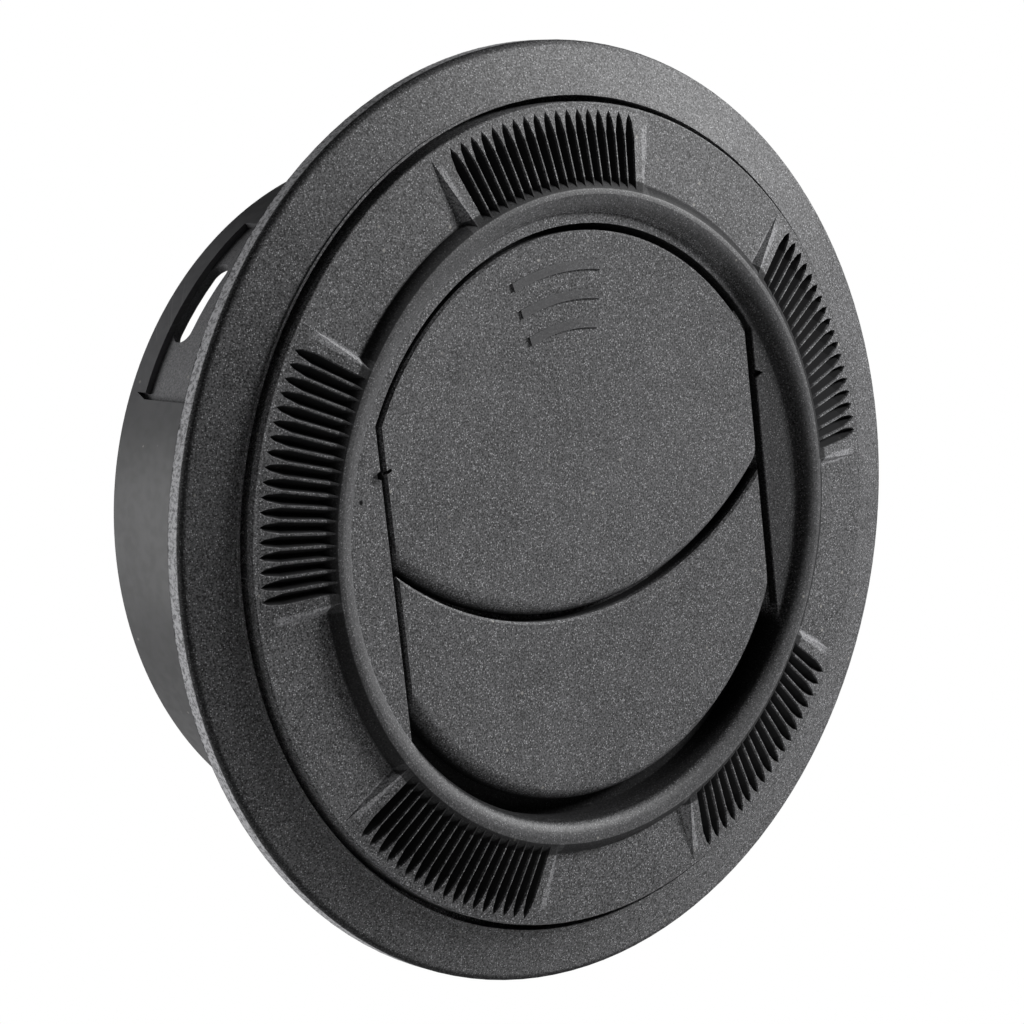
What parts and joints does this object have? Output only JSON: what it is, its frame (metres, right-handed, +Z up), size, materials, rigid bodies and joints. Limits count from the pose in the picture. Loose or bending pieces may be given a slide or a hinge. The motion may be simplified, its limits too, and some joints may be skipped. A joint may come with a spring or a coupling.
{
  "type": "round air vent",
  "caption": "Round panel air vent with a flanged bezel, a turning grip ring and linked flaps that close it, on a duct spigot.",
  "frame": {"origin": "on the vent's axis, in the plane of the flange's back face, which seats on the front of the panel", "axes": "+Y along the vent's axis into the panel and duct, so the grille looks towards -Y; +Z up, with the large flap above the small one; +X to the right seen from the front"},
  "size_m": [0.1, 0.0336, 0.1],
  "materials": {
    "grained_plastic": "black moulded plastic with a fine spark-eroded grain",
    "smooth_plastic": "black moulded plastic, smooth satin"
  },
  "bodies": {
    "housing": {"bezel": "grained_plastic", "duct_collar": "smooth_plastic"},
    "ring": {"grip_ring": "grained_plastic"},
    "upper": {"upper_flap": "grained_plastic"},
    "lower": {"lower_flap": "grained_plastic"},
    "link": {"link_bar": "smooth_plastic"}
  },
  "joints": [
    {"name": "ring_turn", "type": "hinge", "parent": "housing", "child": "ring", "pos_m": [0, 0, 0], "axis": [0, 1, 0], "continuous": true},
    {"name": "upper_flap_hinge", "type": "hinge", "parent": "ring", "child": "upper", "pos_m": [0, -0.003, 0.01025], "axis": [-1, 0, 0], "range_deg": [0, 75]},
    {"name": "lower_flap_hinge", "type": "hinge", "parent": "ring", "child": "lower", "pos_m": [0, -0.003, -0.009], "axis": [-1, 0, 0], "range_deg": [0, 75]},
    {"name": "link_pivot", "type": "hinge", "parent": "upper", "child": "link", "pos_m": [0, 0.004, 0.01025], "axis": [-1, 0, 0], "range_deg": [-75, 0]}
  ],
  "couplings": [
    {"joint": "lower_flap_hinge", "follows": "upper_flap_hinge", "ratio": 1},
    {"joint": "link_pivot", "follows": "upper_flap_hinge", "ratio": -1}
  ]
}
